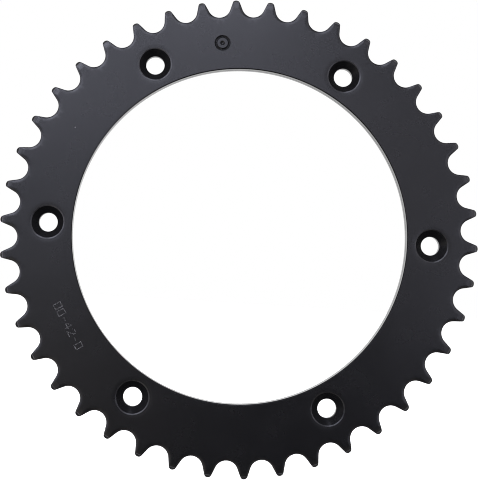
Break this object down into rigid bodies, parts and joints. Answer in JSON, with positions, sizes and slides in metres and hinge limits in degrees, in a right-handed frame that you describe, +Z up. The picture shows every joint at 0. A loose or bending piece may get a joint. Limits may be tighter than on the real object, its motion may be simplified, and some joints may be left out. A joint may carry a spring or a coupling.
{
  "type": "rear sprocket",
  "caption": "Flat steel ring with roller-chain teeth, turned tooth-tip bevels, a large hub bore and a circle of countersunk bolt holes.",
  "frame": {"origin": "centre of the hub bore, at the plate's mid-thickness", "axes": "+Y along the spin axis towards the hub, so the countersunk outer face looks along -Y; +X through the centre of a bolt hole and of the tooth outside it; +Z up"},
  "size_m": [0.2184, 0.006, 0.2178],
  "materials": {
    "black_steel": "satin black coating on steel, all over"
  },
  "bodies": {
    "root": {"sprocket_plate": "black_steel"}
  },
  "joints": []
}
